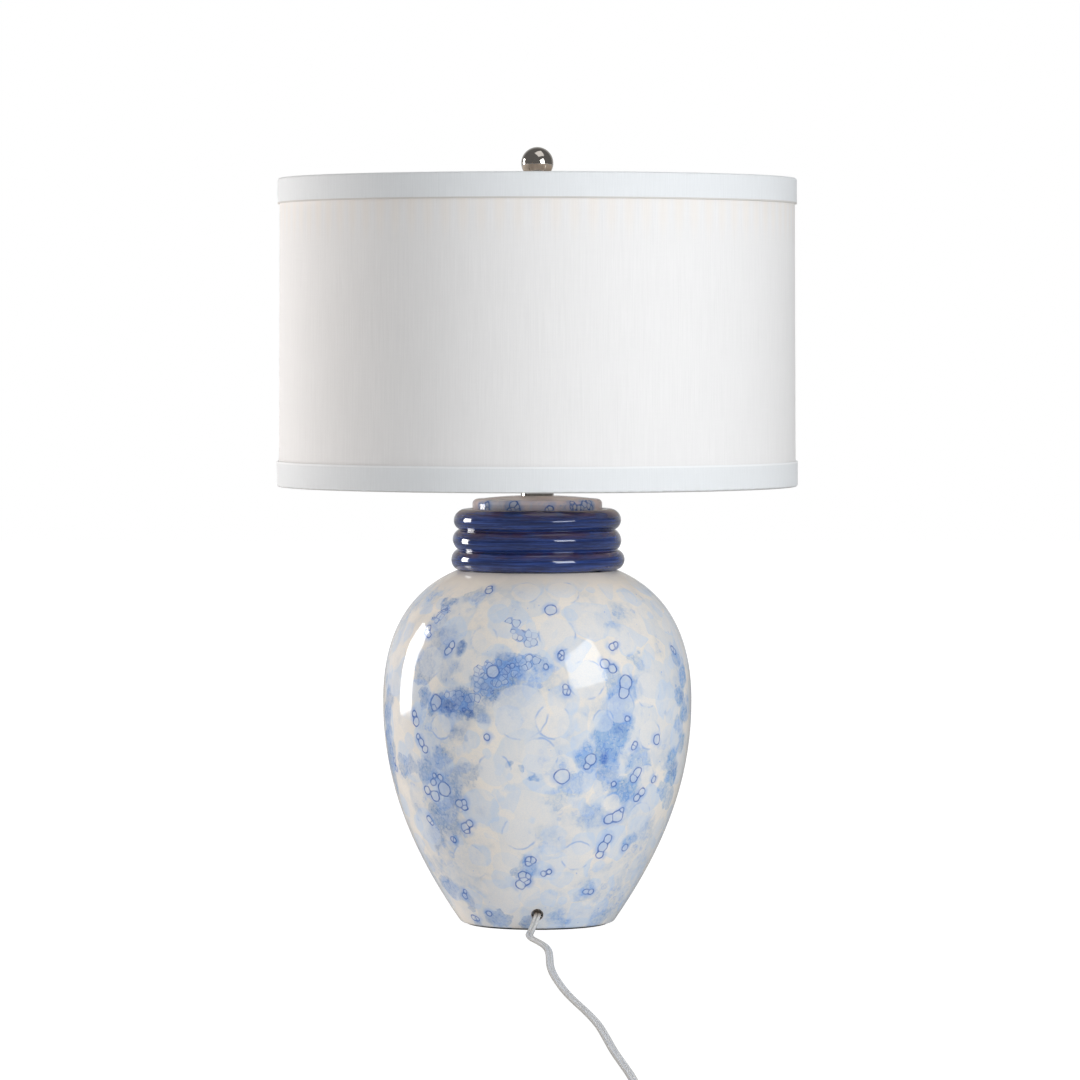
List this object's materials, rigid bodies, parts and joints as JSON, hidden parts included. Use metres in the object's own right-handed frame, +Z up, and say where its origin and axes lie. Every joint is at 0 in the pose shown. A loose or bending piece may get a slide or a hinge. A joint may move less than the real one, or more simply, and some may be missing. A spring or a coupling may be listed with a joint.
{
  "type": "table lamp",
  "caption": "Glazed ginger jar table lamp with stacked rings and a lid, a harp and a trimmed drum shade, a bulb in its socket, and a corded plug.",
  "frame": {"origin": "centre of the felt ring's underside, on the table", "axes": "+Z up along the lamp's axis; the cord leaves the foot towards -Y, the switch knob points to +Y, and the harp lies in the XZ plane"},
  "size_m": [0.4612, 1.4771, 0.6879],
  "materials": {
    "felt": "matte",
    "patterned_glaze": "gloss",
    "navy_glaze": "gloss",
    "zinc_steel": "satin",
    "nickel": "polished",
    "brass": "satin",
    "shade_fabric": "matte",
    "trim_fabric": "matte",
    "card": "matte",
    "black_phenolic": "satin",
    "aluminium": "satin",
    "bulb_glass": "satin",
    "clear_cord": "gloss",
    "tie_paper": "matte",
    "clear_plug": "gloss"
  },
  "bodies": {
    "lamp_base": {"base_felt": "felt", "jar_foot": "patterned_glaze", "jar_belly": "patterned_glaze", "jar_shoulder": "patterned_glaze", "jar_neck": "patterned_glaze", "ring_collar": "navy_glaze", "jar_lid": "patterned_glaze", "lamp_pipe": "zinc_steel", "bottom_plate": "zinc_steel", "lock_washer": "zinc_steel", "bottom_nut": "brass", "neck_tube": "nickel", "harp_saddle": "nickel", "socket_cap": "nickel", "cap_set_screw": "zinc_steel", "socket_shell": "nickel", "socket_liner": "card", "socket_insulator": "black_phenolic", "terminal_screws": "brass", "screw_shell": "aluminium", "centre_contact": "brass", "cord_inside": "clear_cord", "cord_run": "clear_cord", "cord_coil": "clear_cord", "cord_tie": "tie_paper", "plug_body": "clear_plug", "plug_blades": "brass"},
    "switch": {"switch_shaft": "brass", "switch_knob": "black_phenolic"},
    "bulb": {"bulb_contact": "zinc_steel", "bulb_cap": "aluminium", "bulb_glass": "bulb_glass"},
    "harp": {"harp_wire": "nickel"},
    "left_ferrule": {"ferrule_left": "nickel"},
    "right_ferrule": {"ferrule_right": "nickel"},
    "swivel": {"harp_stud": "nickel"},
    "shade": {"spider_hub": "nickel", "spider_arms": "nickel", "shade_top_ring": "zinc_steel", "shade_bottom_ring": "zinc_steel", "shade_panel": "shade_fabric", "shade_top_trim": "trim_fabric", "shade_bottom_trim": "trim_fabric"},
    "finial": {"finial_base": "nickel", "finial_ball": "nickel"}
  },
  "joints": [
    {"name": "switch_knob_turn", "type": "hinge", "parent": "lamp_base", "child": "switch", "pos_m": [0, 0.02, 0.4325], "axis": [0, 1, 0], "continuous": true},
    {"name": "bulb_unscrew", "type": "slide", "parent": "lamp_base", "child": "bulb", "axis": [0, 0, 1], "range_m": [0, 0.03]},
    {"name": "harp_lift", "type": "slide", "parent": "lamp_base", "child": "harp", "axis": [0, 0, 1], "range_m": [0, 0.03]},
    {"name": "ferrule_left_slide", "type": "slide", "parent": "harp", "child": "left_ferrule", "axis": [0, 0, 1], "range_m": [0, 0.013]},
    {"name": "ferrule_right_slide", "type": "slide", "parent": "harp", "child": "right_ferrule", "axis": [0, 0, 1], "range_m": [0, 0.013]},
    {"name": "shade_swivel", "type": "hinge", "parent": "harp", "child": "swivel", "pos_m": [0, 0, 0.6463], "axis": [0, 0, 1], "continuous": true},
    {"name": "shade_lift", "type": "slide", "parent": "swivel", "child": "shade", "axis": [0, 0, 1], "range_m": [0, 0.28]},
    {"name": "finial_unscrew", "type": "slide", "parent": "shade", "child": "finial", "axis": [0, 0, 1], "range_m": [0, 0.012]}
  ]
}
